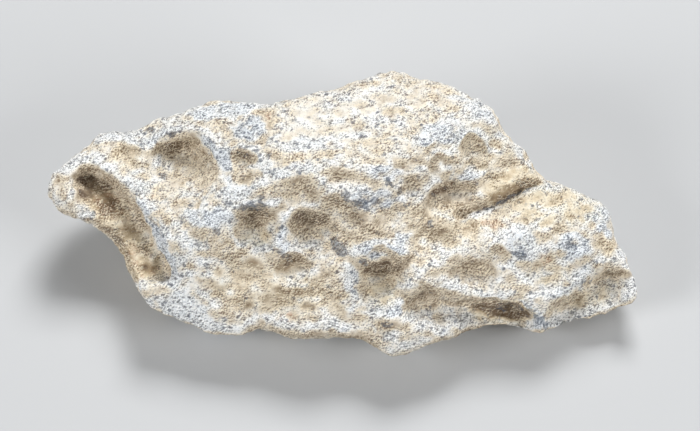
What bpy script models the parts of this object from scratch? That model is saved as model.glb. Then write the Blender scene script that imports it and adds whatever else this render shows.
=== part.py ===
"""A lunar meteorite: one loose stone of feldspar-rich breccia, lying on its flattest side.

The stone is a ball stretched over its outline, pressed flat where it broke, weathered smooth,
and then hollowed by thumb-sized pits, scoops and one step. Sizes in the tables are millimetres,
and each table is drawn as the stone is seen from one side: across, up, and out towards the eye.
Run it with: blender --background --python part.py
"""
import math

import bmesh
import bpy
import numpy as np
from mathutils import Vector, noise
from mathutils.bvhtree import BVHTree

MM = 0.001

# Driving dimensions
LENGTH = 112.8
BALL_SUBDIVISIONS = 7
CLAY_VOXEL = 0.75
CLAY_SMOOTHING = 4
LAST_SMOOTHING = 1
TRIANGLES = 9400
BASE_CUT = 0.7
GROUND_DEPTH = 20.0
STONE_COLOUR = (0.56, 0.50, 0.42, 1)
PIT_WAVERS = [(7.0, 1.2), (2.6, 0.4)]
PIT_RIM_POWER = 1.5
THIN_SHARE = 0.45
SKIN = 0.3
EASING = 2
ROUGHNESS = [(20, 1.2, 3.3), (9, 0.8, 11.7), (4.5, 0.35, 5.1)]

# Sides that the tables are drawn from: azimuth and elevation of the eye, in degrees.
# Azimuth 0 looks along +Y, and 90 looks along -X.
FRONT = (0, 55)
BACK = (180, 30)
LEFT_END = (270, 0)
RIGHT_END = (90, 0)
UNDER_FRONT = (0, -50)
BELOW = (0, -90)

# The outline from the front: (across, up) along its upper and its lower edge, left to right.
UPPER_EDGE = [
    (-56.0, 13.3), (-55.6, 14.5), (-54.9, 16.0), (-53.7, 17.5), (-51.8, 19.2), (-49.9, 20.5),
    (-48.0, 22.4), (-46.5, 24.0), (-42.3, 24.5), (-36.2, 26.6), (-30.1, 28.1), (-24.8, 29.7),
    (-16.1, 30.0), (-14.0, 29.2), (-12.8, 29.9), (-5.8, 31.4), (-1.2, 32.3), (4.8, 34.6),
    (7.1, 35.4), (10.2, 35.8), (12.1, 35.4), (14.0, 34.2), (17.0, 33.7), (21.6, 32.5),
    (25.4, 31.0), (27.7, 29.9), (28.6, 28.3), (29.4, 26.4), (30.3, 24.1), (34.3, 19.4),
    (36.2, 16.9), (37.2, 14.8), (39.1, 14.5), (41.0, 14.3), (45.9, 12.0), (48.6, 11.0),
    (50.1, 10.1), (50.7, 8.0), (51.4, 4.9), (54.1, 1.5), (54.7, -0.4), (55.1, -2.6),
    (56.2, -4.2), (56.8, -6.6),
]
LOWER_EDGE = [
    (-56.0, 13.3), (-55.4, 11.4), (-54.3, 10.3), (-48.4, 6.7), (-45.4, 4.6), (-43.4, 2.3),
    (-41.5, 0.0), (-39.6, -4.6), (-37.9, -6.8), (-35.7, -9.5), (-33.8, -10.8), (-27.1, -12.7),
    (-24.8, -14.1), (-22.5, -14.6), (-19.5, -14.3), (-15.6, -13.4), (-13.0, -14.1), (-7.3, -14.9),
    (-2.0, -14.1), (4.1, -14.8), (6.4, -16.4), (8.3, -17.5), (9.8, -18.0), (11.7, -17.5),
    (19.3, -15.2), (26.1, -12.9), (28.8, -12.3), (31.9, -12.4), (37.6, -13.9), (40.2, -13.1),
    (43.3, -12.1), (51.2, -10.2), (54.8, -9.5), (56.3, -8.2), (56.8, -6.6),
]

# Sections along the stone: (across, height above the ground of the upper edge and of the lower
# edge, bulge out of the line between the two edges towards the front, and away from it).
SECTIONS = [
    (-56, 16, 16, 2, 2),
    (-52, 17, 14, 6, 8),
    (-46, 19, 11, 11, 14),
    (-40, 20, 9, 15, 20),
    (-27, 24, 8, 18, 26),
    (-15, 27, 8, 19, 29),
    (2, 30, 9, 20, 30),
    (20, 29, 9, 20, 30),
    (30, 25, 8, 18, 27),
    (41, 20, 6, 14, 20),
    (50, 15, 7, 9, 12),
    (54, 12, 8, 6, 8),
    (56.8, 10, 9, 4, 4),
]

# Flat breaks: (azimuth and elevation that the break faces, distance from the stone's heart).
# The front is three lumps grown together, and each is bounded by its own breaks.
HEART = (0.0, 0.0, 18.0)
BREAK_ROUNDING = 0.9
CREASE_ROUNDING = 0.35
RIM_SHARE = 0.3
MAIN_FACE = (-8, 47, 11.9)
FRONT_LUMPS = {
    "block": [(210, 82, 13.6), MAIN_FACE, (33, 50, 14.0), (-80, 66, 16.4)],
    "west": [(-77, 74.5, 13.5), (-20, 50, 12.8), (80, 50, -1.8)],
    "east": [(92, 74, 12.0), (16, 44, 14.6), (-60, 40, -10.5)],
}
BACK_BREAKS = {
    "seat": (0, -90, 17.6),
    "back_face": (178, -6, 22.8),
    "back_left": (196, -4, 27.9),
    "back_right": (149, -3, 28.3),
    "under_front": (0, -51, 25.2),
    "under_left": (262, -54, 36.5),
    "under_right": (100, -60, 36.5),
    "under_back": (172, -48, 25.5),
}

# Pits: (across, up, half width, half height, turn in degrees, depth, lean).
# Lean above 0 makes the upper wall the steep one.
FRONT_PITS = {
    "great_bowl": (-30.4, 16.6, 7.9, 8.4, -8, 4.8, 0.35),
    "west_saucer": (-42.4, 18.6, 5.4, 5.4, 0, 1.3, 0.1),
    "trough_hole": (-49.4, 15.2, 2.2, 1.9, -10, 2.2, 0.1),
    "trough_top": (-45.2, 12.4, 3.8, 2.8, -30, 1.0, 0.2),
    "trough_middle": (-38.2, 3.6, 3.0, 3.6, -40, 1.0, 0.2),
    "trough_foot": (-34.8, -1.8, 2.8, 4.0, -10, 1.2, 0.2),
    "bowl_neighbour": (-18.9, 18.6, 3.5, 3.6, 0, 2.0, 0.25),
    "west_dip": (-36.6, 11.6, 2.8, 2.4, 0, 0.6, 0.1),
    "centre_bowl": (-16.8, 6.0, 4.8, 4.8, 0, 3.2, 0.35),
    "long_pit": (-6.6, 6.0, 5.2, 5.2, -10, 2.9, 0.3),
    "long_pit_top": (-8.3, 12.4, 5.0, 4.2, 0, 1.4, 0.3),
    "long_pit_shoulder": (-0.8, 9.2, 4.6, 3.8, -30, 1.5, 0.4),
    "ridge_saucer": (-0.4, 15.2, 3.8, 2.1, 0, 0.9, 0.3),
    "left_hollow": (-17.0, -1.4, 7.4, 4.6, 8, 1.2, 0.2),
    "small_pit": (-9.2, -1.0, 3.4, 3.3, 0, 2.3, 0.4),
    "low_hollow": (-10.0, -8.0, 7.6, 4.4, 0, 1.0, 0.1),
    "lower_bowl": (7.2, -3.5, 5.6, 5.9, 0, 3.8, 0.35),
    "lower_saucer": (15.8, -8.8, 6.4, 4.2, -8, 2.6, 0.4),
    "low_prow_pit": (8.6, -13.4, 3.0, 2.3, 0, 0.9, 0.2),
    "hidden_pit": (21.2, 12.6, 5.6, 3.8, 6, 3.4, 0.35),
    "block_pit_right": (24.8, 21.0, 3.8, 3.8, 30, 1.9, 0.3),
    "block_pit_left": (18.6, 18.8, 3.0, 2.5, 0, 1.4, 0.3),
    "block_pit_small": (13.4, 14.2, 2.5, 2.7, 0, 1.0, 0.3),
    "shelf_dip": (29.0, 6.6, 3.2, 2.0, -8, 0.6, 0.2),
    "face_pit": (29.4, 1.4, 2.4, 2.4, 0, 1.1, 0.3),
    "face_saucer": (24.4, -3.2, 5.6, 3.6, 0, 1.8, 0.4),
    "face_west_dip": (17.4, 3.0, 4.8, 3.6, 0, 1.1, 0.3),
    "east_saucer": (38.6, -3.2, 4.4, 3.8, 20, 1.3, 0.2),
    "east_end_saucer": (49.6, 2.4, 2.6, 3.4, 20, 0.8, 0.1),
    "knob": (-17.6, 25.0, 4.2, 3.9, 0, -1.0, 0.0),
    "edge_knob": (-25.8, 25.6, 4.0, 2.2, 10, -0.5, 0.0),
}
BACK_PITS = {
    "wide_bowl": (6.0, 6.5, 8.6, 6.0, 15, 3.6, 0.3),
    "bowl_beside": (-7.5, 3.0, 5.4, 4.6, 0, 2.6, 0.3),
    "deep_pit": (-21.0, 1.0, 4.4, 4.0, 0, 2.8, 0.35),
    "left_saucer": (-33.5, 2.0, 6.0, 4.6, 20, 2.2, 0.2),
    "right_hollow": (25.5, 3.0, 7.8, 5.4, -20, 2.8, 0.3),
    "right_pit": (39.5, 4.5, 4.0, 3.6, 0, 2.0, 0.3),
    "low_hollow": (-2.5, -5.2, 7.0, 3.6, 10, 1.8, 0.3),
    "low_pit": (15.5, -4.2, 4.4, 3.4, 0, 1.9, 0.3),
    "small_pit": (-14.2, -4.0, 3.0, 2.8, 0, 1.6, 0.3),
    "low_left_pit": (-26.5, -5.5, 4.4, 2.8, 0, 1.5, 0.2),
    "high_pit": (-3.5, 11.0, 3.4, 2.6, 0, 1.3, 0.2),
    "high_right_pit": (16.0, 12.4, 3.8, 2.6, 10, 1.3, 0.2),
}
LEFT_END_PITS = {
    "under_nose": (-2.5, 8.5, 6.4, 3.8, 20, 2.2, 0.3),
    "side_pit": (7.5, 6.0, 4.0, 3.2, 0, 1.8, 0.3),
    "back_pit": (-11.0, 11.0, 3.4, 3.0, 0, 1.5, 0.3),
}
RIGHT_END_PITS = {
    "end_hollow": (-4.0, 8.5, 5.4, 3.2, 10, 1.8, 0.3),
    "end_pit": (5.5, 10.0, 3.8, 3.0, 0, 1.8, 0.3),
    "back_pit": (12.0, 15.0, 4.0, 3.4, -10, 1.8, 0.3),
}
UNDER_FRONT_PITS = {
    "front_hollow": (-13.0, 17.5, 9.0, 4.2, 5, 2.0, 0.2),
    "front_pit": (5.0, 20.5, 5.0, 3.8, 0, 2.2, 0.3),
    "right_hollow": (23.5, 16.5, 7.0, 4.0, -10, 2.0, 0.2),
    "left_pit": (-29.0, 15.0, 4.4, 3.4, 0, 1.7, 0.3),
    "right_pit": (38.0, 12.0, 4.2, 3.2, 0, 1.6, 0.3),
}
BELOW_PITS = {
    "wide_hollow": (-7.0, 1.0, 15.0, 8.5, 8, 2.4, 0.1),
    "right_hollow": (20.0, -3.0, 10.0, 7.0, -12, 2.2, 0.2),
    "left_hollow": (-28.5, -3.0, 7.0, 5.5, 20, 2.0, 0.2),
    "front_pit": (6.5, 13.0, 4.4, 3.4, 0, 1.8, 0.2),
    "back_pit": (2.0, -13.5, 5.0, 3.4, 0, 1.7, 0.1),
    "right_pit": (33.5, 6.0, 4.6, 3.8, 0, 1.8, 0.2),
    "left_pit": (-22.0, 10.0, 3.8, 3.0, 0, 1.6, 0.2),
}

# Steps: the line of the wall's foot as (across, up), depth, width of the wall, reach of the low
# side, and which side of the line is low, looking along it: 1 is right, -1 is left.
FRONT_STEPS = {
    "trough": ([(-51.4, 16.2), (-47.8, 15.2), (-44.4, 13.2), (-41.6, 11.2), (-39.4, 8.6),
                (-37.8, 5.8), (-36.2, 3.2), (-34.2, 0.4), (-33.0, -2.8), (-32.9, -5.6)],
               4.2, 1.5, 8.5, 1),
    "crack": ([(21.4, 7.6), (25.8, 9.2), (28.4, 9.7), (31.2, 11.2), (34.6, 12.9), (38.4, 14.6)],
              2.2, 2.6, 6.5, 1),
    "left_scoop": ([(17.0, -7.4), (22.3, -8.4), (27.5, -9.2), (32.4, -9.4), (35.0, -10.6),
                    (37.0, -13.0)], 3.4, 1.3, 6.0, 1),
    "right_scoop": ([(39.6, -13.0), (40.8, -9.8), (43.8, -6.8), (46.8, -5.0), (50.0, -3.4),
                     (53.2, -3.0)], 4.0, 1.5, 8.0, 1),
}


def axes_of(side):
    """(across, up, out) of a side as unit vectors."""
    azimuth, elevation = (math.radians(angle) for angle in side)
    out = Vector((math.sin(azimuth) * math.cos(elevation),
                  -math.cos(azimuth) * math.cos(elevation), math.sin(elevation)))
    across = Vector((math.cos(azimuth), math.sin(azimuth), 0.0))
    return np.array([across, out.cross(across), out])


def smooth_curve(points):
    """A function through (x, y) points that rises and falls only where they do."""
    x, y = np.array(points, float).T
    slope = np.diff(y) / np.diff(x)
    before, after = slope[:-1], slope[1:]
    same_way = before * after > 0
    middle = np.zeros(len(before))
    middle[same_way] = 2 * (before * after)[same_way] / (before + after)[same_way]
    tangent = np.concatenate([[slope[0]], middle, [slope[-1]]])

    def value(at):
        i = np.clip(np.searchsorted(x, at) - 1, 0, len(x) - 2)
        step = x[i + 1] - x[i]
        t = np.clip((at - x[i]) / step, 0, 1)
        return ((1 + 2 * t) * (1 - t) ** 2 * y[i] + t * (1 - t) ** 2 * step * tangent[i]
                + t * t * (3 - 2 * t) * y[i + 1] + t * t * (t - 1) * step * tangent[i + 1])

    return value


def smooth_step(value, low, high):
    t = np.clip((value - low) / (high - low), 0, 1)
    return t * t * (3 - 2 * t)


def points_of(mesh):
    flat = np.empty(len(mesh.vertices) * 3, np.float32)
    mesh.vertices.foreach_get("co", flat)
    return flat.reshape(-1, 3).astype(float) / MM


def normals_of(mesh):
    flat = np.empty(len(mesh.vertices) * 3, np.float32)
    mesh.vertex_normals.foreach_get("vector", flat)
    return flat.reshape(-1, 3).astype(float)


def put_points(mesh, points):
    mesh.vertices.foreach_set("co", (points * MM).astype(np.float32).ravel())
    mesh.update()


def break_level(across, up, frame, flat_break):
    """Depth at which the view through each point meets a flat break."""
    azimuth, elevation, distance = flat_break
    facing = axes_of((azimuth, elevation))[2]
    tilt = frame @ facing
    return (distance + facing @ HEART - tilt[0] * across - tilt[1] * up) / tilt[2]


def soft_lowest(first, second, rounding):
    return -rounding * np.logaddexp(-first / rounding, -second / rounding)


def broken_depth(across, up, out, rim_out, frame):
    """Depths beyond the breaks slide along the view to them. Some of the bulge is always kept."""
    front = np.full(len(out), -1e3)
    for breaks in FRONT_LUMPS.values():
        lump = out
        for flat_break in breaks:
            lump = soft_lowest(lump, break_level(across, up, frame, flat_break), BREAK_ROUNDING)
        front = -soft_lowest(-front, -lump, CREASE_ROUNDING)
    back = out
    for flat_break in BACK_BREAKS.values():
        level = break_level(across, up, frame, flat_break)
        back = -soft_lowest(-back, -level, BREAK_ROUNDING)
    least = rim_out + RIM_SHARE * (out - rim_out)
    return np.where(out > rim_out, np.maximum(front, least), np.minimum(back, least))


def stretched_ball():
    """A ball stretched over the outline, with its depth from the sections and the breaks."""
    mesh = bpy.data.meshes.new("meteorite")
    ball = bmesh.new()
    bmesh.ops.create_icosphere(ball, subdivisions=BALL_SUBDIVISIONS, radius=1.0)
    ball.to_mesh(mesh)
    ball.free()
    unit = points_of(mesh) * MM
    across = UPPER_EDGE[0][0] + (unit[:, 0] + 1) * LENGTH / 2
    ring = np.sqrt(np.clip(1 - unit[:, 0] ** 2, 1e-9, 1))
    share_up, share_out = unit[:, 1] / ring, unit[:, 2] / ring
    top = np.interp(across, *np.array(UPPER_EDGE).T)
    bottom = np.interp(across, *np.array(LOWER_EDGE).T)
    top_height, bottom_height, front, back = (
        smooth_curve([(row[0], row[i]) for row in SECTIONS])(across) for i in (1, 2, 3, 4))
    frame = axes_of(FRONT)
    rise, lift = frame[1][2], frame[2][2]
    top_out = (top_height - top * rise) / lift
    bottom_out = (bottom_height - bottom * rise) / lift
    up = (top + bottom) / 2 + share_up * (top - bottom) / 2
    rim_out = (top_out + bottom_out) / 2 + share_up * (top_out - bottom_out) / 2
    out = rim_out + share_out * np.where(share_out > 0, front, back)
    out = broken_depth(across, up, out, rim_out, frame)
    put_points(mesh, np.stack([across, up, out], 1) @ frame)
    return mesh


def roughen(mesh, wavelength, height, seed):
    """Points move along their normals by smooth noise."""
    points = points_of(mesh)
    offset = Vector((seed, seed, seed))
    rise = [noise.noise(Vector(point) / wavelength + offset) for point in points]
    put_points(mesh, points + normals_of(mesh) * (height * np.array(rise))[:, None])


def remade(mesh, voxel, smoothing):
    """The mesh with faces of an even size, smoothed."""
    block = bpy.data.objects.new("clay", mesh)
    bpy.context.scene.collection.objects.link(block)
    even = block.modifiers.new("even faces", "REMESH")
    even.mode = "VOXEL"
    even.voxel_size = voxel * MM
    even.adaptivity = 0
    soft = block.modifiers.new("weathering", "SMOOTH")
    soft.iterations = smoothing
    soft.factor = 0.5
    bpy.context.view_layer.update()
    made = bpy.data.meshes.new_from_object(block.evaluated_get(bpy.context.evaluated_depsgraph_get()))
    bpy.data.objects.remove(block)
    bpy.data.meshes.remove(mesh)
    return made


def facing_share(normals, frame):
    """1 where the surface faces the side's eye, and 0 from its edge round to the far face."""
    return smooth_step(normals @ frame[2], -0.05, 0.3)


def wavered(place):
    """Across and up with a slow waver, so that no pit is a true ellipse."""
    wavered_place = place[:, :2].copy()
    for wavelength, width in PIT_WAVERS:
        shift = [noise.noise_vector(Vector(point) / wavelength)[:2] for point in place]
        wavered_place += width * np.array(shift)
    return wavered_place


def pit_depth(place, pit):
    """Depth of a rounded hollow at each point. Its rim is an ellipse, and lean moves its deepest
    point up from the middle, which makes the upper wall the steep one."""
    across, up, half_width, half_height, turn, depth, lean = pit
    x, y = place[:, 0] - across, place[:, 1] - up
    turned = math.radians(turn)
    x, y = (x * math.cos(turned) + y * math.sin(turned),
            y * math.cos(turned) - x * math.sin(turned))
    x, y = x / half_width, y / half_height - lean
    far = np.sqrt(x * x + y * y) + 1e-9
    along = lean * y / far
    to_rim = np.sqrt(along * along + 1 - lean * lean) - along
    return depth * np.clip(1 - (far / to_rim) ** 2, 0, 1) ** PIT_RIM_POWER


def line_distance(place, line):
    """Signed distance of each point from a line of points, below 0 to its left, and its share
    of the way along the line."""
    line = np.array(line, float)
    lengths = np.linalg.norm(np.diff(line, axis=0), axis=1)
    starts = np.concatenate([[0], np.cumsum(lengths)[:-1]])
    best = np.full(len(place), np.inf)
    signed, along = np.zeros(len(place)), np.zeros(len(place))
    for a, b, length, start in zip(line[:-1], line[1:], lengths, starts):
        way = (b - a) / length
        t = np.clip((place - a) @ way, 0, length)
        gap = place - a - np.outer(t, way)
        distance = np.linalg.norm(gap, axis=1)
        cross = way[1] * gap[:, 0] - way[0] * gap[:, 1]
        nearer = distance < best
        best[nearer] = distance[nearer]
        signed[nearer] = np.where(cross >= 0, distance, -distance)[nearer]
        along[nearer] = ((start + t) / lengths.sum())[nearer]
    return signed, along


def step_depth(place, step):
    """Depth of the ground below a wall: full at the wall's foot, and rising away from it."""
    line, depth, wall, reach, low_side = step
    signed, along = line_distance(place, line)
    signed = signed * low_side
    low = 1 - np.clip(signed / reach, 0, 1) ** 1.8
    high = smooth_step(signed, -wall, 0)
    ends = smooth_step(along, 0, 0.1) * smooth_step(1 - along, 0, 0.1)
    return depth * np.where(signed > 0, low, high) * ends


def thickness(mesh, points, normals, direction):
    """How much stone lies behind each point of the surface, in the given direction."""
    tree = BVHTree.FromPolygons([Vector(point) for point in points],
                                [tuple(face.vertices) for face in mesh.polygons])
    way = Vector(direction)
    starts = points - normals * SKIN
    hits = [tree.ray_cast(Vector(start), way)[3] for start in starts]
    return np.array([0.0 if hit is None else hit for hit in hits])


def eased(mesh, values):
    """Values at the vertices, each averaged with its neighbours."""
    ends = np.empty(len(mesh.edges) * 2, np.int32)
    mesh.edges.foreach_get("vertices", ends)
    first, second = ends.reshape(-1, 2).T
    count = np.bincount(ends, minlength=len(values)) + 1
    for _ in range(EASING):
        total = values + np.bincount(first, values[second], len(values))
        values = (total + np.bincount(second, values[first], len(values))) / count
    return values


def press(mesh, side, pits, steps=()):
    """Hollows and steps, pressed away from the side's eye and never through thin stone."""
    frame = axes_of(side)
    points, normals = points_of(mesh), normals_of(mesh)
    place = wavered(points @ frame.T)
    depth = sum(pit_depth(place, pit) for pit in pits)
    depth = depth + sum(step_depth(place, step) for step in steps)
    depth = depth * facing_share(normals, frame)
    most = THIN_SHARE * thickness(mesh, points, normals, -frame[2]) + 1e-6
    depth = np.where(depth > 0, most * np.tanh(depth / most), depth)
    put_points(mesh, points - np.outer(eased(mesh, depth), frame[2]))


def stone():
    mesh = remade(stretched_ball(), CLAY_VOXEL, CLAY_SMOOTHING)
    for wavelength, height, seed in ROUGHNESS:
        roughen(mesh, wavelength, height, seed)
    press(mesh, FRONT, FRONT_PITS.values(), FRONT_STEPS.values())
    press(mesh, BACK, BACK_PITS.values())
    press(mesh, LEFT_END, LEFT_END_PITS.values())
    press(mesh, RIGHT_END, RIGHT_END_PITS.values())
    press(mesh, UNDER_FRONT, UNDER_FRONT_PITS.values())
    press(mesh, BELOW, BELOW_PITS.values())
    return remade(mesh, CLAY_VOXEL, LAST_SMOOTHING)


def stand_on_ground(mesh):
    """The mesh moved so that the ground cuts its lowest millimetre, and its base is centred."""
    points = points_of(mesh)
    middle = (points.min(0) + points.max(0)) / 2
    put_points(mesh, points - (middle[0], middle[1], points[:, 2].min() + BASE_CUT))


def ground_cutter(collection):
    """A box whose top is the ground, to cut the flat patch that the stone rests on."""
    box = bmesh.new()
    bmesh.ops.create_cube(box, size=1.0)
    mesh = bpy.data.meshes.new("ground")
    box.to_mesh(mesh)
    box.free()
    ground = bpy.data.objects.new("ground", mesh)
    ground.scale = (2 * LENGTH * MM, 2 * LENGTH * MM, GROUND_DEPTH * MM)
    ground.location.z = -GROUND_DEPTH * MM / 2
    ground.hide_render = True
    ground.display_type = "WIRE"
    collection.objects.link(ground)
    return ground


def stone_material():
    material = bpy.data.materials.new("anorthosite breccia")
    material.use_nodes = True
    surface = material.node_tree.nodes["Principled BSDF"]
    surface.inputs["Base Color"].default_value = STONE_COLOUR
    surface.inputs["Roughness"].default_value = 0.92
    surface.inputs["Metallic"].default_value = 0.0
    return material


def new_collection(name):
    collection = bpy.data.collections.new(name)
    bpy.context.scene.collection.children.link(collection)
    return collection


def main():
    for thing in list(bpy.data.objects):
        bpy.data.objects.remove(thing)
    mesh = stone()
    stand_on_ground(mesh)
    mesh.materials.append(stone_material())
    mesh.shade_smooth()
    meteorite = bpy.data.objects.new("meteorite", mesh)
    new_collection("Lunar meteorite").objects.link(meteorite)

    fewer = meteorite.modifiers.new("fewer faces", "DECIMATE")
    fewer.ratio = TRIANGLES / (2 * len(mesh.polygons))
    fewer.use_collapse_triangulate = True
    flat = meteorite.modifiers.new("resting patch", "BOOLEAN")
    flat.operation = "DIFFERENCE"
    flat.solver = "EXACT"
    flat.object = ground_cutter(new_collection("Cutters"))


main()
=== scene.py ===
import math
from types import SimpleNamespace

import bpy
import numpy as np
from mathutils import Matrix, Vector, noise


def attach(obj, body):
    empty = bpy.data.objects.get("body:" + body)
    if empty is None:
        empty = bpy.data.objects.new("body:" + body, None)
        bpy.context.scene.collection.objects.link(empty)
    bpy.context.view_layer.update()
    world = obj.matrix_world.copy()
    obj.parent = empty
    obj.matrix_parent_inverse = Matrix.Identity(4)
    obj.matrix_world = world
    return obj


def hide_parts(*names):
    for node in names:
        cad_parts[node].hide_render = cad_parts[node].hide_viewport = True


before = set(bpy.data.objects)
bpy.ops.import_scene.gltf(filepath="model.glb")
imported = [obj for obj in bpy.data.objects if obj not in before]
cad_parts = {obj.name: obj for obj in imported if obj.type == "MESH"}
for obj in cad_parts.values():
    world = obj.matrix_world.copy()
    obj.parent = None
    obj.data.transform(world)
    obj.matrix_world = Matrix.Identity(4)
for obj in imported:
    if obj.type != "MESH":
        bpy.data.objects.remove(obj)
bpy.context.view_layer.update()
mm = 0.001

# Pits and colours are placed as they are seen from the front, 55 degrees up: across, up and out.
frontTilt = math.radians(55)
frontAxes = np.array([
    (1, 0, 0),
    (0, math.sin(frontTilt), math.cos(frontTilt)),
    (0, -math.cos(frontTilt), math.sin(frontTilt)),
])
frontMiddle = np.array([0.31, 2.23, -0.5])   # mm
facingSpan = (-0.05, 0.25)                   # a side that turns away further has no marks
paintedShadeWay = np.array([0.0, 0.64, 0.77])     # painted shade: the sides that lean away from it are painted darker and warmer


def pickOnly(thing):
    bpy.ops.object.select_all(action="DESELECT")
    thing.select_set(True)
    bpy.context.view_layer.objects.active = thing


def finishModifier(thing, kind, **settings):
    modifier = thing.modifiers.new(kind.lower(), kind)
    for name, value in settings.items():
        setattr(modifier, name, value)
    pickOnly(thing)
    bpy.ops.object.modifier_apply(modifier=modifier.name)


def readPoints(mesh):
    flat = np.empty(len(mesh.vertices) * 3, np.float32)
    mesh.vertices.foreach_get("co", flat)
    return flat.reshape(-1, 3).astype(float) / mm


def readNormals(mesh):
    flat = np.empty(len(mesh.vertices) * 3, np.float32)
    mesh.vertex_normals.foreach_get("vector", flat)
    return flat.reshape(-1, 3).astype(float)


def writePoints(mesh, points):
    mesh.vertices.foreach_set("co", (points * mm).astype(np.float32).ravel())
    mesh.update()


def writeAttribute(mesh, name, values):
    attribute = mesh.attributes.new(name, "FLOAT", "POINT")
    attribute.data.foreach_set("value", values.astype(np.float32))


def ease(value, low, high):
    share = np.clip((value - low) / (high - low), 0, 1)
    return share * share * (3 - 2 * share)


def neighbourMean(mesh, values, rounds):
    # each point's value drawn towards the mean of its neighbours, again and again
    ends = np.empty(len(mesh.edges) * 2, np.int32)
    mesh.edges.foreach_get("vertices", ends)
    first, second = ends.reshape(-1, 2).T
    columns = values.reshape(len(values), -1).T.copy()
    count = np.bincount(ends, minlength=len(values)) + 1
    for _ in range(rounds):
        for column in columns:
            total = column + np.bincount(first, column[second], len(column))
            column[:] = (total + np.bincount(second, column[first], len(column))) / count
    return columns.T.reshape(values.shape)


def softNoise(points, wavelength, seed):
    offset = Vector((seed, seed, seed))
    return np.array([noise.noise(Vector(point) / wavelength + offset) for point in points])


def cellDistance(points, size, seed):
    # distance to the middle of the nearest random cell, in cells, and two random numbers for it
    offset = Vector((seed, seed, seed))
    found = [noise.voronoi(Vector(point) / size + offset) for point in points]
    distance = np.array([near[0][0] for near in found])
    middles = np.array([near[1][0] for near in found])
    spin = np.sin(middles @ np.array([12.99, 78.23, 37.72])) * 43758.5
    return distance, spin % 1, (spin * 7.31) % 1

def waver(points, wavelength, width, seeds):
    # a slow push across and up, in mm
    return width * np.stack([softNoise(points, wavelength, seed) for seed in seeds], 1)


def frontPlace(points):
    return (points - frontMiddle) @ frontAxes.T


def facesFront(normals):
    return ease(normals @ frontAxes[2], *facingSpan)


def lineDistance(place, line):
    # distance from a line of (across, up) points, share of the way along it, and side: 1 is right
    line = np.array(line, float)
    lengths = np.linalg.norm(np.diff(line, axis=0), axis=1)
    starts = np.concatenate([[0], np.cumsum(lengths)[:-1]])
    nearest = np.full(len(place), np.inf)
    along, side = np.zeros(len(place)), np.ones(len(place))
    for begin, end, length, start in zip(line[:-1], line[1:], lengths, starts):
        way = (end - begin) / length
        travel = np.clip((place[:, :2] - begin) @ way, 0, length)
        gap = place[:, :2] - begin - np.outer(travel, way)
        distance = np.linalg.norm(gap, axis=1)
        closer = distance < nearest
        nearest[closer] = distance[closer]
        along[closer] = ((start + travel) / lengths.sum())[closer]
        side[closer] = np.where(way[1] * gap[:, 0] - way[0] * gap[:, 1] < 0, -1, 1)[closer]
    return nearest, along, side


def withinEllipse(place, across, up, halfWidth, halfHeight, turn):
    # where a place is along an ellipse's turned axes: 1 is the edge on each
    angle = math.radians(turn)
    x, y = place[:, 0] - across, place[:, 1] - up
    x, y = x * math.cos(angle) + y * math.sin(angle), y * math.cos(angle) - x * math.sin(angle)
    return x / halfWidth, y / halfHeight


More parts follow.
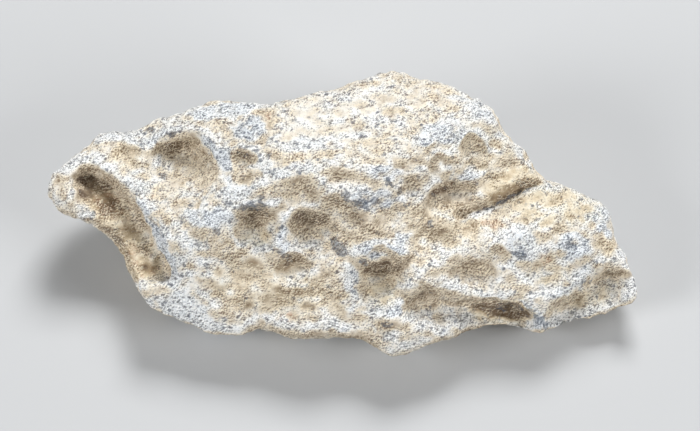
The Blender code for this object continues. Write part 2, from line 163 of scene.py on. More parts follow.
# The stone's relief, in mm.
stoneShape = {
    "faceSize": 0.42,
    "mergeWithin": 0.001,
    "smoothing": (0.5, 6),   # factor, rounds
    "sharpening": (1.1, 8),
    # wavelength, height, seed
    "lumps": [(6.5, 0.35, 5.5), (3.4, 0.40, 1.7), (1.7, 0.30, 9.1), (0.95, 0.15, 4.3)],
    # size of the cells, depth, share of the cells that have one, seed
    "dimples": [(3.1, 0.38, 0.45, 3.9), (1.6, 0.20, 0.5, 8.2)],
    "dimpleReach": (0.35, 0.3),    # in cells: the least, and how much more the widest has
    "dimplePower": 1.2,
    "flatBelow": (0.1, 0.9),       # above the floor: where lumps and dimples start, and are full
    "wavers": [(4.2, 0.6, (1.3, 6.6)), (2.0, 0.4, (3.8, 9.2))],    # wavelength, width, seeds
    "lineWaver": 0.35,       # how much of the waver the walls and the crack get
    "rimPower": 0.7,
    "lowPower": 1.3,
    "wallEnds": 0.08,        # share of a line's length that fades in or out
    "grooveEnds": (0.08, 0.04),

    # Pits cut with a crisp upper rim: (across, up, half width, half height, turn, depth, lean).
    "pits": {
        "great_bowl": (-30.9, 15.9, 7.2, 7.5, -8, 2.0, 0.74),
        "great_bowl_corner": (-33.2, 21.0, 3.4, 2.8, 25, 0.6, 0.5),
        "west_saucer": (-41.4, 16.9, 5.0, 5.0, 0, 1.0, 0.4),
        "trough_hole": (-50.3, 15.1, 1.2, 1.1, -10, 0.9, 0.2),
        "bowl_neighbour": (-18.7, 17.0, 3.5, 3.8, 0, 1.7, 0.35),
        "centre_bowl": (-16.0, 5.8, 4.1, 4.1, 0, 1.4, 0.75),
        "long_pit": (-5.9, 4.9, 4.9, 4.4, -10, 2.4, 0.55),
        "long_pit_top": (-8.3, 11.8, 4.4, 3.4, 0, 0.4, 0.6),
        "long_pit_shoulder": (-0.8, 8.3, 4.2, 3.2, -30, 1.3, 0.6),
        "ridge_saucer": (-0.4, 14.6, 3.4, 1.7, 0, 0.5, 0.6),
        "small_pit": (-9.2, -2.0, 3.3, 3.2, 0, 1.8, 0.5),
        "lower_bowl": (7.4, -5.1, 4.8, 5.1, 0, 1.1, 0.8),
        "lower_saucer": (16.3, -9.8, 5.8, 3.8, -8, 1.4, 0.74),
        "low_prow_pit": (8.6, -13.4, 2.4, 1.7, 0, 0.4, 0.3),
        "hidden_pit": (20.7, 11.3, 5.6, 3.6, 6, 2.0, 0.5),
        "block_pit_right": (25.1, 19.8, 2.6, 4.2, 12, 1.3, 0.35),
        "block_pit_left": (18.8, 17.2, 2.8, 2.6, 0, 1.1, 0.5),
        "block_pit_small": (13.0, 13.0, 2.4, 2.4, 0, 1.0, 0.5),
        "face_pit": (29.4, 0.5, 2.2, 2.1, 0, 1.2, 0.5),
        "face_saucer": (25.0, -3.6, 4.9, 3.0, 0, 0.6, 0.7),
        "face_west_dip": (17.4, 3.0, 4.0, 2.8, 0, 0.3, 0.5),
        "east_saucer": (38.6, -3.2, 3.8, 3.3, 20, 0.4, 0.5),
        "above_crack": (30.3, 13.8, 9.0, 4.6, 24, 0.35, 0.0),
        "east_end_saucer": (49.6, 2.4, 2.2, 2.9, 20, 0.3, 0.4),
    },

    # Where the solid part is a little too deep or its pits sit too high: filled here, and most of
    # the pits are cut again above.
    "fillings": {
        "trough_middle": (-38.2, 3.6, 3.0, 3.6, -40, 0.6, 0.2),
        "trough_foot": (-34.8, -1.8, 2.8, 4.0, -10, 0.7, 0.2),
        "west_saucer": (-42.4, 18.6, 5.4, 5.4, 0, 1.0, 0.1),
        "great_bowl_rim": (-25.9, 22.5, 4.6, 2.0, -45, 0.8, 0.0),
        "lower_bowl": (7.2, 0.8, 6.0, 3.0, 0, 2.2, 0.0),
        "lower_saucer": (15.4, -5.8, 6.0, 1.5, -4, 0.8, 0.0),
        "centre_bowl": (-16.6, 9.8, 4.4, 1.5, 0, 0.7, 0.0),
        "bowl_neighbour": (-18.9, 18.6, 3.5, 3.6, 0, 1.5, 0.25),
        "long_pit": (-6.6, 6.0, 5.2, 5.2, -10, 1.3, 0.3),
        "long_pit_shoulder": (-0.8, 9.2, 4.6, 3.8, -30, 0.8, 0.4),
        "small_pit": (-9.2, -1.0, 3.4, 3.3, 0, 1.1, 0.4),
        "hidden_pit": (21.2, 12.6, 5.6, 3.8, 6, 1.0, 0.35),
        "block_pit_right": (24.8, 21.0, 3.8, 3.8, 30, 1.6, 0.3),
        "block_pit_left": (18.6, 18.8, 3.0, 2.5, 0, 0.8, 0.3),
        "block_pit_small": (13.4, 14.2, 2.5, 2.7, 0, 0.5, 0.3),
        "face_pit": (29.4, 1.4, 2.4, 2.4, 0, 0.9, 0.3),
    },

    # Walls: the line of the foot with the low side on its right, depth, width of the wall, and
    # reach of the low side.
    "walls": {
        "trough": ([(-53.0, 14.6), (-51.2, 15.9), (-47.8, 15.9), (-44.4, 13.9), (-41.6, 11.9),
                    (-39.4, 9.3), (-37.6, 6.3), (-36.0, 3.6), (-34.1, 0.7), (-32.9, -2.8),
                    (-32.8, -5.0)], 1.9, 0.6, 9.0),
        "left_scoop": ([(20.4, -8.9), (22.6, -8.3), (25.5, -7.9), (28.7, -7.8), (32.4, -8.6),
                        (35.0, -10.0), (37.0, -12.6)], 2.4, 0.6, 5.0),
        "right_scoop": ([(39.6, -13.0), (40.8, -9.5), (43.8, -6.3), (46.8, -4.5), (50.0, -3.0),
                         (53.2, -2.9), (57.5, -3.3)], 1.1, 0.8, 6.0),
    },

    # Thin cracks and grooves: the line, depth and width.
    "grooves": {
        "crack": ([(21.4, 7.6), (24.8, 9.3), (28.0, 10.2), (30.9, 11.4), (34.3, 13.4),
                   (37.6, 14.6)], 0.9, 0.36),
        "knob": ([(-17.0, 28.4), (-15.2, 27.8), (-13.9, 26.2), (-13.8, 23.6), (-15.6, 22.2),
                  (-18.6, 21.8)], 0.45, 0.40),
    },
}


def shapeStone():
    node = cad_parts["meteorite"]
    stone = bpy.data.objects.new("stone_surface", node.data.copy())
    bpy.context.scene.collection.objects.link(stone)
    pickOnly(stone)
    bpy.ops.object.mode_set(mode="EDIT")
    bpy.ops.mesh.select_all(action="SELECT")
    bpy.ops.mesh.remove_doubles(threshold=stoneShape["mergeWithin"] * mm)
    bpy.ops.object.mode_set(mode="OBJECT")
    factor, rounds = stoneShape["smoothing"]
    finishModifier(stone, "REMESH", mode="VOXEL", voxel_size=stoneShape["faceSize"] * mm)
    finishModifier(stone, "SMOOTH", factor=factor, iterations=rounds)
    print("stone remeshed:", len(stone.data.polygons), "faces")
    return stone


def wavered(place):
    # across and up with a slow waver, so that no pit has a clean edge
    shifted = place[:, :2].copy()
    for row in stoneShape["wavers"]:
        shifted += waver(place, *row)
    return shifted


def pitDepth(place, across, up, halfWidth, halfHeight, turn, depth, lean):
    # lean moves the deepest point up from the middle, which makes the upper wall the steep one
    x, y = withinEllipse(place, across, up, halfWidth, halfHeight, turn)
    y = y - lean
    far = np.hypot(x, y) + 1e-9    # never zero
    slant = lean * y / far
    toRim = np.sqrt(slant * slant + 1 - lean * lean) - slant
    return depth * np.clip(1 - (far / toRim) ** 2, 0, 1) ** stoneShape["rimPower"]


def wallDepth(place, line, depth, wall, reach):
    # full depth at the wall's foot, rising away from it
    gap, along, side = lineDistance(place, line)
    gap = gap * side
    low = 1 - np.clip(gap / reach, 0, 1) ** stoneShape["lowPower"]
    ends = ease(along, 0, stoneShape["wallEnds"]) * ease(1 - along, 0, stoneShape["wallEnds"])
    return depth * np.where(gap > 0, low, ease(gap, -wall, 0)) * ends


def grooveDepth(place, line, depth, width):
    gap, along, side = lineDistance(place, line)
    first, last = stoneShape["grooveEnds"]
    return depth * np.exp(-(gap / width) ** 2) * ease(along, 0, first) * ease(1 - along, 0, last)


def cutForms(mesh):
    # the forms that are seen from the front are cut straight in from there
    points, normals = readPoints(mesh), readNormals(mesh)
    strength, rounds = stoneShape["sharpening"]
    points += strength * (points - neighbourMean(mesh, points, rounds))
    place, facing = frontPlace(points), facesFront(normals)
    shifted = wavered(place)
    steady = place[:, :2] + (shifted - place[:, :2]) * stoneShape["lineWaver"]
    cut = sum(pitDepth(shifted, *pit) for pit in stoneShape["pits"].values())
    cut = cut - sum(pitDepth(place, *pit) for pit in stoneShape["fillings"].values())
    cut = cut + sum(wallDepth(steady, *wall) for wall in stoneShape["walls"].values())
    cut = cut + sum(grooveDepth(steady, *groove) for groove in stoneShape["grooves"].values())
    points -= np.outer(cut * facing, frontAxes[2])
    writePoints(mesh, points)


def roughen(mesh):
    # lumps and dimples all round
    points, normals = readPoints(mesh), readNormals(mesh)
    least, more = stoneShape["dimpleReach"]
    rise = np.zeros(len(points))
    for wavelength, height, seed in stoneShape["lumps"]:
        rise += height * softNoise(points, wavelength, seed)
    for size, depth, share, seed in stoneShape["dimples"]:
        distance, lot, width = cellDistance(points, size, seed)
        bowl = np.clip(1 - (distance / (least + more * width)) ** 2, 0, 1)
        rise -= depth * (lot < share) * bowl ** stoneShape["dimplePower"]
    rise *= ease(points[:, 2], *stoneShape["flatBelow"])
    points += normals * rise[:, None]
    points[:, 2] = np.maximum(points[:, 2], 0)
    writePoints(mesh, points)


def carveStone(stone):
    cutForms(stone.data)
    roughen(stone.data)
    print("stone carved")


# Where the colours lie, in mm: (across, up, half width, half height, turn, strength), and for the
# pale crust how blue it is.
stoneTones = {
    "markFall": (0.55, 1.15),      # where a mark's strength starts to fall, and is gone: 1 is its edge
    "edgeWaver": (1.6, 0.5, (2.9, 6.1)),      # wavelength, width, seeds
    # rounds of smoothing, one after the other, and the depth that counts as deep
    "hollows": {"closeHollow": (12, 0.10), "wideHollow": (120, 0.6)},
    # painted shade on sides that lean away from the light: rounds for the wide and close normals, then
    # full tilt
    "paintedShadeRounds": (60, 4),
    "paintedShadeTilt": 0.35,
    # patches on the sides without marks: wavelength, seed and strength, then also start and full
    "hiddenWarm": [(10.0, 3.3, 1.3), (4.6, 7.4, 1.0)],
    "hiddenWarmth": -0.15,
    "hidden": {
        "ochre": (13.0, 1.2, 0.7, 0.0, 0.5),
        "blue": (8.0, 5.1, 0.5, 0.1, 0.5),
        "dark": (2.6, 8.8, 0.9, 0.40, 0.60),
    },
    # tan of the pits and hollows, and painted shade under steep rims and walls; a negative strength
    # paints a slope paler
    "tanAndShade": [
        (-46.9, 12.2, 5.7, 3.2, -38, 1.95),     # trough top: its tan, and painted shade under the wall
        (-43.4, 7.2, 5.7, 4.2, -48, 0.95),      # trough middle
        (-40, 1.5, 5.3, 4.4, -55, 1.1),         # trough middle
        (-36.8, -4.2, 4.2, 3.4, -65, 0.45),     # trough foot
        (-37, -1.5, 1.5, 1.5, 0, 0.5),          # spot above it
        (-47.6, 14.1, 3.6, 1.3, -28, 0.6),      # trough wall, upper end
        (-49.5, 15.2, 1.1, 1, 0, 1.9),          # trough hole: painted shade
        (-35.3, -5.3, 1.7, 2.1, -60, 0.15),     # hollow at the foot
        (-30.1, 20, 4.4, 2.9, -4, 0.9),         # great bowl: its tan, and painted shade under the top rim
        (-33.2, 21.5, 2.3, 1.5, 0, 0.4),        # its upper left corner
        (-27.9, 15.6, 4.2, 3.4, 0, 0.2),        # its slope
        (-41.9, 18.6, 2.9, 3, 0, 0.6),          # west saucer
        (-40, 15.2, 2.7, 1.1, -10, 0.2),        # below it
        (-19.1, 17.9, 2.7, 2.5, 0, 0.6),        # pit beside the bowl
        (-16.4, 7.8, 3.2, 1.7, -5, 1.75),       # centre bowl, steep top: painted shade under the rim
        (-16.3, 5.5, 3.2, 2.3, 0, 0.15),        # its middle
        (-16.3, 3.6, 2.7, 1.5, 0, -0.3),        # its slope: painted paler, as if lit
        (-6.4, 6.8, 3.8, 2.1, 0, 0.8),          # long pit, steep top: painted shade under the rim
        (-6, 5.5, 3.4, 2.3, 0, 0.35),           # its middle
        (-8.3, 12, 3.8, 2.5, 0, 0.55),          # its arm up to the left
        (-1.4, 9.3, 4.6, 2.5, -15, 0.49),       # its shoulder
        (-0.5, 14.6, 3.2, 1.3, 0, 0.33),        # ridge saucer
        (-9.6, -1.5, 2.5, 1.7, 0, 0.65),        # small pit
        (-9.6, -4.4, 3.8, 1.9, 0, 0.23),        # below it
        (7.1, -1.9, 4.4, 1.7, -4, 1),           # lower bowl, steep top: painted shade under the rim
        (7.3, -4.6, 4, 3, 0, 0.4),              # its middle
        (7.3, -7.2, 4, 2.7, 0, -0.1),           # its slope: painted a little paler, as if lit
        (14.5, -8, 3.8, 1.5, 0, 1),             # lower saucer
        (17.4, -11.4, 4.6, 1.5, 8, 0.39),       # its slope
        (30.7, -9.7, 6.8, 1.7, -3, 2.6),        # left scoop: its tan, and painted shadow under its wall
        (29.9, -11.6, 6.5, 1.5, 2, 0.9),        # its floor
        (18.5, 18.3, 2.5, 2.1, 0, 0.45),        # block pits
        (24.6, 20.5, 2.5, 3, 20, 0.45),
        (27.1, 22.4, 1.9, 1.5, 0, 0.33),
        (13, 12.5, 1.7, 1.7, 0, 0.33),
        (20.4, 11.8, 5.3, 2.5, 4, 1),           # hidden pit
        (29.9, 15, 4.9, 1.5, 24, 0.6),          # foot of the block
        (26.1, -5.3, 6.8, 1.5, 0, 0.35),
        (20.6, 11, 3.8, 1.3, 0, 0.6),
        (31.9, 14.3, 7.2, 3.6, 24, 0.72),       # above the crack: its tan, and painted shade on the wall that faces down
        (38.5, 10.5, 11.4, 2.7, -6, 0.4),
        (31.5, 9.7, 5.7, 1.5, 22, 0.45),        # shelf
        (20.1, 7.2, 8.4, 2.5, -5, 0.75),        # left of the shelf
        (28.6, 6.8, 3, 1.1, -8, 0.4),
        (29.4, 1, 1.7, 1.7, 0, 0.35),           # east face
        (24.2, -3.6, 4.8, 2.1, 0, 0.36),
        (39.6, -1.9, 3, 3.4, 0, 0.39),
        (50.7, 1.9, 1.7, 2.3, 0, 0.29),
        (47.1, -7.4, 5.7, 1.7, 20, 0.78),       # right scoop
        (-13.8, 27, 1.5, 2.3, 0, 0.39),         # plateau
        (-8.1, 28.1, 6.5, 1.7, 15, 0.16),
        (-10.4, 19.4, 3, 1.3, 10, 0.29),
        (7.1, 29.7, 5.7, 1.9, -5, 0.2),
        (16.6, 29.9, 5.7, 1.5, -15, 0.23),
        (9, 22.8, 4.9, 1.5, 8, 0.2),
        (-21.8, 2.9, 6.1, 2.7, 10, 0.33),       # lower face
        (-15.3, -1.9, 8.4, 3, 5, 0.38),
        (-17.6, -6.8, 8.4, 3.8, 8, 0.36),
        (-4.3, -5.7, 6.5, 4.2, 0, 0.23),
        (-10.7, -10.8, 2.7, 1.5, 0, 0.45),
        (-37.2, 11.4, 1.7, 1.1, 0, 0.59),       # small patches
        (-34.5, 8.7, 1.9, 1.5, 0, 0.33),
        (-53.5, 13.9, 1.9, 2.5, 0, 0.9),
        (-27.1, 26.6, 2.3, 1.1, 5, 0.23),
        (4.3, 9.1, 7.6, 3, 0, 0.3),             # the middle is a little darker
        (5.2, 4.8, 8.4, 2.7, 0, 0.25),
        (3.7, -14.8, 6.5, 1.9, 0, 1),
        (-0.5, 6.5, 11.4, 3.8, 5, 0.42),
        (10.9, 0.8, 7.6, 3, 0, 0.48),
        (-8.5, 1.5, 4.6, 2.3, 0, 0.2),
        (-8.1, -13.9, 6.5, 1.3, 0, 0.6),
        (26.1, -13.3, 5.7, 1.1, 0, 0.6),
        (-45.4, 6.5, 3, 2.3, -48, 0.45),
        (-41.9, 0.4, 2.7, 2.7, -58, 0.45),
        (-27.1, 16.4, 3.8, 2.7, -20, 0.25),
    ],
    "crust": [
        (23.9, 30.2, 5.7, 2.3, -30, 0.5, 0.2),
        (-16.8, 3.6, 2.5, 1, 0, 0.3, 0),        # centre bowl's floor
        (-22.9, 8.2, 3.4, 1.3, 0, 0.4, 0.3),
        (-36.6, 23.2, 6.8, 1.7, 14, 0.5, 0.3),
        (41.7, 10.3, 9.9, 4.6, 0, 0.45, 0.1),   # the east end is pale
        (39.1, -0.4, 8.7, 4.2, 0, 0.45, 0.1),
        (-28.6, 0.4, 5.3, 5.7, 0, 0.45, 0.1),
        (25.8, 24, 4.9, 4.2, 20, 0.6, 0.25),
        (1.4, 27, 17.1, 6.5, 8, 0.45, 0.2),     # the plateau
        (-44.6, 23.4, 6.8, 1.1, 12, 0.7, 0),    # west edge
        (-22.9, 28.5, 8.4, 1.7, 6, 1.3, 0.5),
        (-46.9, 19.6, 1.7, 1.5, 0, 0.5, 0),
        (-36.2, 18.1, 1.7, 3.4, 0, 0.6, 0),
        (-24.8, 20.9, 5.1, 1.5, -46, 1.9, 0.7), # ridge round the great bowl
        (-21.8, 17.5, 1.3, 4.2, 10, 0.9, 0.6),
        (-38.5, 14.1, 3.4, 1.5, -20, 0.7, 0),   # ridge along the trough
        (-36.6, 7.6, 4.9, 1.1, -60, 1.2, 0.8),
        (-33.6, 1.7, 5.7, 1.3, -62, 1.6, 0.7),
        (-30.5, -6.7, 2.7, 4.9, 0, 0.8, 0.1),
        (-25.6, 8, 6.1, 2.1, -5, 1.1, 0.5),     # between the bowls
        (-19.9, 12.9, 3.8, 1.7, 0, 1.2, 0),
        (-14.9, 18.4, 1.7, 1.9, 0, 0.9, 0),
        (-11.1, 4.2, 1.1, 4.6, 0, 0.9, 0.9),
        (-9.2, 16.9, 4.9, 1.3, 10, 0.6, 0.2),
        (-5.8, 21.9, 8.4, 1.5, 5, 0.6, 0),
        (8.3, 16.4, 4.6, 1.7, 0, 0.8, 0.6),     # edge of the plateau
        (5.6, 11, 5.7, 2.3, 10, 0.9, 1.4),
        (10.9, 4.2, 2.3, 1.9, 0, 0.7, 0.6),
        (1.8, -5.7, 1.7, 6.1, 0, 0.7, 0.5),     # round the lower bowl
        (9.8, -9.3, 2.9, 1.3, 35, 1, 0.9),
        (7.5, 1.7, 4.6, 1.3, 0, 1.3, 0.8),
        (18.5, 24, 4.9, 2.9, 20, 1.1, 0.5),     # block corner
        (26.1, 28.9, 2.3, 1.9, -40, 0.5, 0),
        (22.7, 15.4, 4.2, 1, 15, 0.7, 0.6),
        (24.6, 7.8, 1.9, 1.1, 0, 0.7, 0),
        (33.4, 3.4, 3.4, 3.2, -20, 1.9, 0),     # white patch on the east face
        (43.8, 2.5, 3.2, 2.9, 0, 0.8, 0.8),
        (49.7, 7.2, 2.3, 3.4, 20, 0.8, 0.9),
        (45.2, -4.9, 6.1, 1, 22, 0.7, 0.3),     # ridges over the scoops
        (21.4, -7.2, 5.7, 0.6, -8, 0.5, 0),
        (31.9, -7.8, 4.9, 0.6, -5, 0.5, 0),
        (36.4, -10.8, 3.8, 1.5, -52, 1.1, 1.5), # prow
        (10.9, -14.8, 6.5, 1.5, 10, 0.2, 0),
        (-47.6, 6.1, 5.7, 0.8, -38, 0.7, 0),
        (-37.6, -7.2, 4.6, 1, -50, 0.7, 0),
        (-29.4, -9.5, 8.4, 2.7, -25, 1.2, 0),   # lower left edge
        (53.1, -6.1, 2.3, 1.9, 0, 0.4, 0),
        (-17.8, 25.1, 3.8, 3.2, 0, 0.6, 1.1),   # knob
        (6.8, -8.9, 3.2, 1.7, 0, 0.5, 0),
        (-27.5, 13.3, 3.8, 1.5, 0, 0.4, 0),
        (-6, 3, 2.7, 1, 0, 0.4, 0),
    ],
    # dark clasts, and painted shade in the crack and under the left scoop's wall
    "dark": [
        (31.3, 11.5, 5.9, 0.3, 24, 1.5),        # painted shade in the crack
        (37.7, -11.6, 2.7, 1.5, -52, 0.62),     # beside the prow
        (31.3, -8.9, 5.7, 1.3, -4, 0.35),       # left scoop: painted shadow under its wall
        (-36.8, 24.9, 0.8, 0.6, 0, 1.6),        # from here on: dark clasts
        (-32.6, 24.1, 0.8, 0.8, 0, 1.7),
        (-17.6, 26.8, 1, 0.8, 0, 0.6),
        (-18.2, 23.8, 1.1, 1, 0, 0.7),
        (-15.5, 24.1, 0.6, 0.6, 0, 0.9),
        (-19.5, 24.7, 1, 1, 0, 0.6),
        (-23.9, 5.5, 1.3, 1.1, 0, 0.8),
        (-16.4, 10.3, 2.7, 1.1, 0, 0.8),
        (-0.5, 2.3, 2.5, 1.3, -48, 1.5),
        (3.9, -0.4, 1.1, 1, 0, 1.1),
        (-18.3, -7.2, 1, 0.8, 0, 0.6),
        (8.8, 14.6, 1.1, 0.8, 0, 0.6),
        (10.7, 13.1, 0.8, 1.1, 10, 1),
        (16.4, 6.8, 1.1, 1, 0, 0.9),
        (33.8, 1.3, 1.3, 1.1, 0, 0.8),
        (43.6, 2.7, 1.7, 1.1, 0, 0.7),
        (45.7, -4.4, 0.8, 0.6, 0, 0.8),
        (47.3, -4.2, 0.6, 0.6, 0, 0.7),
        (8.5, -12.2, 1.1, 0.8, 0, 0.8),
        (-10.6, 0.8, 1.1, 0.8, 0, 0.6),
        (1.4, 11.8, 1.7, 1, -30, 0.6),
        (3.5, 10.5, 1.5, 1, 0, 0.5),
        (-14, 20, 0.6, 0.6, 0, 0.8),
        (-13.4, 16.9, 0.6, 0.6, 0, 0.8),
        (-21.6, 15.2, 0.6, 0.6, 0, 0.7),
        (6.6, 25.7, 1.9, 0.4, 25, 0.8),
        (20.6, 24.5, 0.3, 1.7, 0, 0.8),
        (14.7, 25.1, 1.3, 1, 0, 0.5),
        (-24.2, 13.1, 1, 1.5, 10, 0.35),
        (5.2, 10.5, 3.8, 1.9, 5, 0.55),
        (-19.1, 19, 2.3, 2.3, 0, 0.25),
        (-34.3, 16, 1, 0.8, 0, 0.8),
        (-35.8, 14.8, 0.8, 0.6, 0, 0.7),
        (-30.5, 7.6, 1.1, 0.8, 0, 0.8),
        (-28, 8, 1, 0.8, 0, 0.6),
        (-15.7, 11.8, 1, 0.8, 0, 0.8),
        (-25.6, -1.1, 0.8, 0.8, 0, 0.7),
        (-22.7, 3.8, 1, 0.8, 0, 0.7),
        (-12.6, 1.7, 1, 0.8, 0, 0.7),
        (-11.7, 6.5, 0.8, 1, 0, 0.6),
        (-24.8, 22.8, 1, 0.8, -45, 0.6),
        (-22.9, 20.9, 0.8, 0.8, 0, 0.6),
        (34.1, 0.4, 1, 0.8, 0, 0.7),
        (32.6, 1.3, 0.8, 0.6, 0, 0.7),
        (4.7, 13.3, 1, 0.8, 0, 0.7),
        (0.3, 12.4, 0.8, 0.8, 0, 0.7),
        (8.5, -14.8, 1, 0.8, 0, 0.7),
        (23.3, 28.3, 0.6, 0.4, 0, 0.7),
        (25.8, 14.3, 0.8, 0.6, 0, 0.6),
        (-21.4, 10.6, 1.3, 0.8, 0, 0.7),
        (-18.9, 9.9, 1, 0.8, 0, 0.8),
        (-29, 10.5, 0.8, 0.6, 0, 0.6),
        (-39.3, 15.4, 0.8, 0.6, 0, 0.6),
        (14.4, 15.6, 0.8, 0.6, 0, 0.7),
        (12.5, 10.5, 1, 0.6, 0, 0.6),
        (-8.1, 16.7, 1, 0.6, 0, 0.5),
        (-4.7, 19, 0.8, 0.6, 0, 0.5),
        (48.2, -0.4, 0.8, 0.6, 0, 0.6),
        (41.4, 3.2, 1, 0.8, 0, 0.5),
    ],
    "rust": [
        (-44.2, 9.9, 6.5, 3, -45, 0.45),        # pinkish floor of the trough
        (-38.5, -0.4, 5.7, 3.4, -58, 0.45),
        (-29.2, 25.5, 0.6, 0.4, 0, 0.9),
        (-37, 11.8, 1.7, 1, 0, 0.7),
        (-10.7, -10.8, 2.3, 1.3, 0, 0.5),
        (28.6, 6.8, 2.7, 1, -8, 0.9),
        (-14.2, 27.4, 1.1, 1.5, 0, 0.6),
        (29.4, 1.7, 1.3, 1.3, 0, 0.4),
        (25.2, -7.6, 0.6, 0.6, 0, 0.6),
        (38.5, 0.4, 1.5, 1.5, 0, 0.7),
        (-24.8, 10.5, 0.4, 0.4, 0, 0.8),
        (-38.1, 19.6, 0.6, 0.4, 0, 0.7),
    ],
    "smooth": [
        (7.5, -6.5, 3.2, 2.3, 0, 0.5),
        (-25, 20.7, 4.6, 1.3, -46, 0.6),
        (31.5, 9.7, 5.7, 1.7, 22, 0.6),
        (-2.4, 24.7, 17.1, 4.9, 8, 0.3),
        (41.4, 4.6, 7.6, 3.8, 0, 0.3),
        (-37, 6.8, 1.9, 4.6, -60, 0.6),
        (-36, -3.4, 1.9, 2.7, -60, 0.9),
        (-16.8, 4.2, 2.5, 1.3, 0, 0.8),
        (33.4, 3.4, 3.4, 3.2, -20, 0.8),
        (-20.4, 12.9, 2.9, 1.7, 0, 0.8),
        (-30.5, -8, 4.6, 3.4, -30, 0.7),
        (23.9, 26.6, 3.4, 2.3, 20, 0.5),
        (-0.5, 27.6, 15.2, 5.7, 8, 0.8),        # plateau
        (16.6, 30.8, 6.5, 2.7, -20, 0.5),
        (40.4, 10.6, 9.5, 3, -5, 0.8),          # shelf
        (31.5, 14.5, 6.5, 2.7, 24, 0.9),        # above the crack
        (-46.7, 12.2, 5.7, 2.7, -38, 0.8),      # trough
        (-42.7, 6.8, 4.9, 3, -52, 0.8),
        (-38.5, 0.4, 4.6, 3, -58, 0.8),
        (30.7, -9.7, 6.8, 2.3, 0, 1),           # left scoop
        (47.4, -7.2, 5.3, 1.9, 20, 0.5),        # right scoop
        (-15.3, -4.8, 11.4, 6.5, 0, 0.3),       # lower face
    ],
    "ochre": [
        (7.5, -6.7, 3.2, 2.5, 0, 0.9),
        (-16.3, 4, 2.9, 1.5, 0, 0.9),
        (-36, -3.4, 1.9, 2.3, -60, 0.7),
        (-16.3, 4.6, 2.7, 1.9, 0, 0.6),
        (40.6, 10.3, 11.8, 4.9, -5, 0.9),       # shelf
        (31.9, 14.5, 6.8, 3.4, 24, 1),          # above the crack
        (25.8, 20.9, 8.4, 5.7, 10, 0.45),
        (29.9, -10.1, 8, 2.7, 0, 0.9),          # left scoop
        (47.8, -7.2, 5.7, 2.7, 20, 0.7),        # right scoop
        (50.5, 1.9, 2.3, 3, 0, 0.7),
        (39.6, -1.9, 4.6, 3.8, 0, 0.5),
        (-29.4, 19.8, 5.3, 4.6, 0, 0.3),        # great bowl
        (-44.6, 9.5, 6.5, 3.8, -42, 0.8),       # trough
        (-38.9, 0.8, 6.1, 4.2, -56, 0.9),
        (-41.5, 20.3, 3.4, 3.4, 0, 0.5),
        (-15.3, -4.8, 13.3, 6.5, 0, 0.45),      # lower face
        (-4.3, -7.6, 9.5, 4.9, 0, 0.3),
        (7.5, -3.8, 4.9, 4.9, 0, 0.4),
        (19.5, 6.7, 9.5, 5.7, 0, 0.45),
    ],
    "streaks": [
        (5.6, 25.9, 8.7, 4.6, 18, 0.9),         # plateau
        (-2.4, 29.3, 11.4, 3.8, 15, 0.5),
        (14.7, 30.4, 5.7, 2.3, -10, 0.5),
    ],
}


def spot(place, *ellipse):
    # 1 in the middle of an ellipse, falling to 0 a little outside its edge
    return 1 - ease(np.hypot(*withinEllipse(place, *ellipse)), *stoneTones["markFall"])


def toneHollows(mesh, points, normals):
    # how far each point lies below its surroundings, and how far it leans away from the light's way,
    # which is painted as shade
    mean = points
    for name, (rounds, depth) in stoneTones["hollows"].items():
        mean = neighbourMean(mesh, mean, rounds)
        writeAttribute(mesh, name, np.tanh(((mean - points) * normals).sum(1) / depth))
    wide, close = [neighbourMean(mesh, normals, rounds) for rounds in stoneTones["paintedShadeRounds"]]
    tilt = (wide - close) @ paintedShadeWay
    writeAttribute(mesh, "shelter", np.tanh(tilt / stoneTones["paintedShadeTilt"]))


def frontTones(place, fine):
    # pits' colours follow the pits' wavering edges, and small marks stay where they are
    shifted, steady = wavered(place) + fine, place[:, :2] + fine
    small = ("dark", "rust", "smooth", "ochre", "streaks")
    tone = {name: np.zeros(len(place)) for name in ("warm", "blue", *small)}
    for *ellipse, strength in stoneTones["tanAndShade"]:
        tone["warm"] += strength * spot(shifted, *ellipse)
    for *ellipse, strength, blueness in stoneTones["crust"]:
        reach = spot(shifted, *ellipse)
        tone["warm"] -= strength * reach
        tone["blue"] += blueness * reach
    for name in small:
        for *ellipse, strength in stoneTones[name]:
            tone[name] += strength * spot(steady, *ellipse)
    return tone


def hiddenTones(points):
    # the sides without marks get broad patches of the same kinds
    tone = {"warm": stoneTones["hiddenWarmth"] + sum(
        strength * softNoise(points, wavelength, seed)
        for wavelength, seed, strength in stoneTones["hiddenWarm"])}
    for name, (wavelength, seed, strength, low, high) in stoneTones["hidden"].items():
        tone[name] = strength * ease(softNoise(points, wavelength, seed), low, high)
    return tone


def toneStone(stone):
    mesh = stone.data
    points, normals = readPoints(mesh), readNormals(mesh)
    toneHollows(mesh, points, normals)
    place, facing = frontPlace(points), facesFront(normals)
    hidden = hiddenTones(points)
    for name, values in frontTones(place, waver(points, *stoneTones["edgeWaver"])).items():
        writeAttribute(mesh, name, values * facing + hidden.get(name, 0) * (1 - facing))
    print("stone toned")


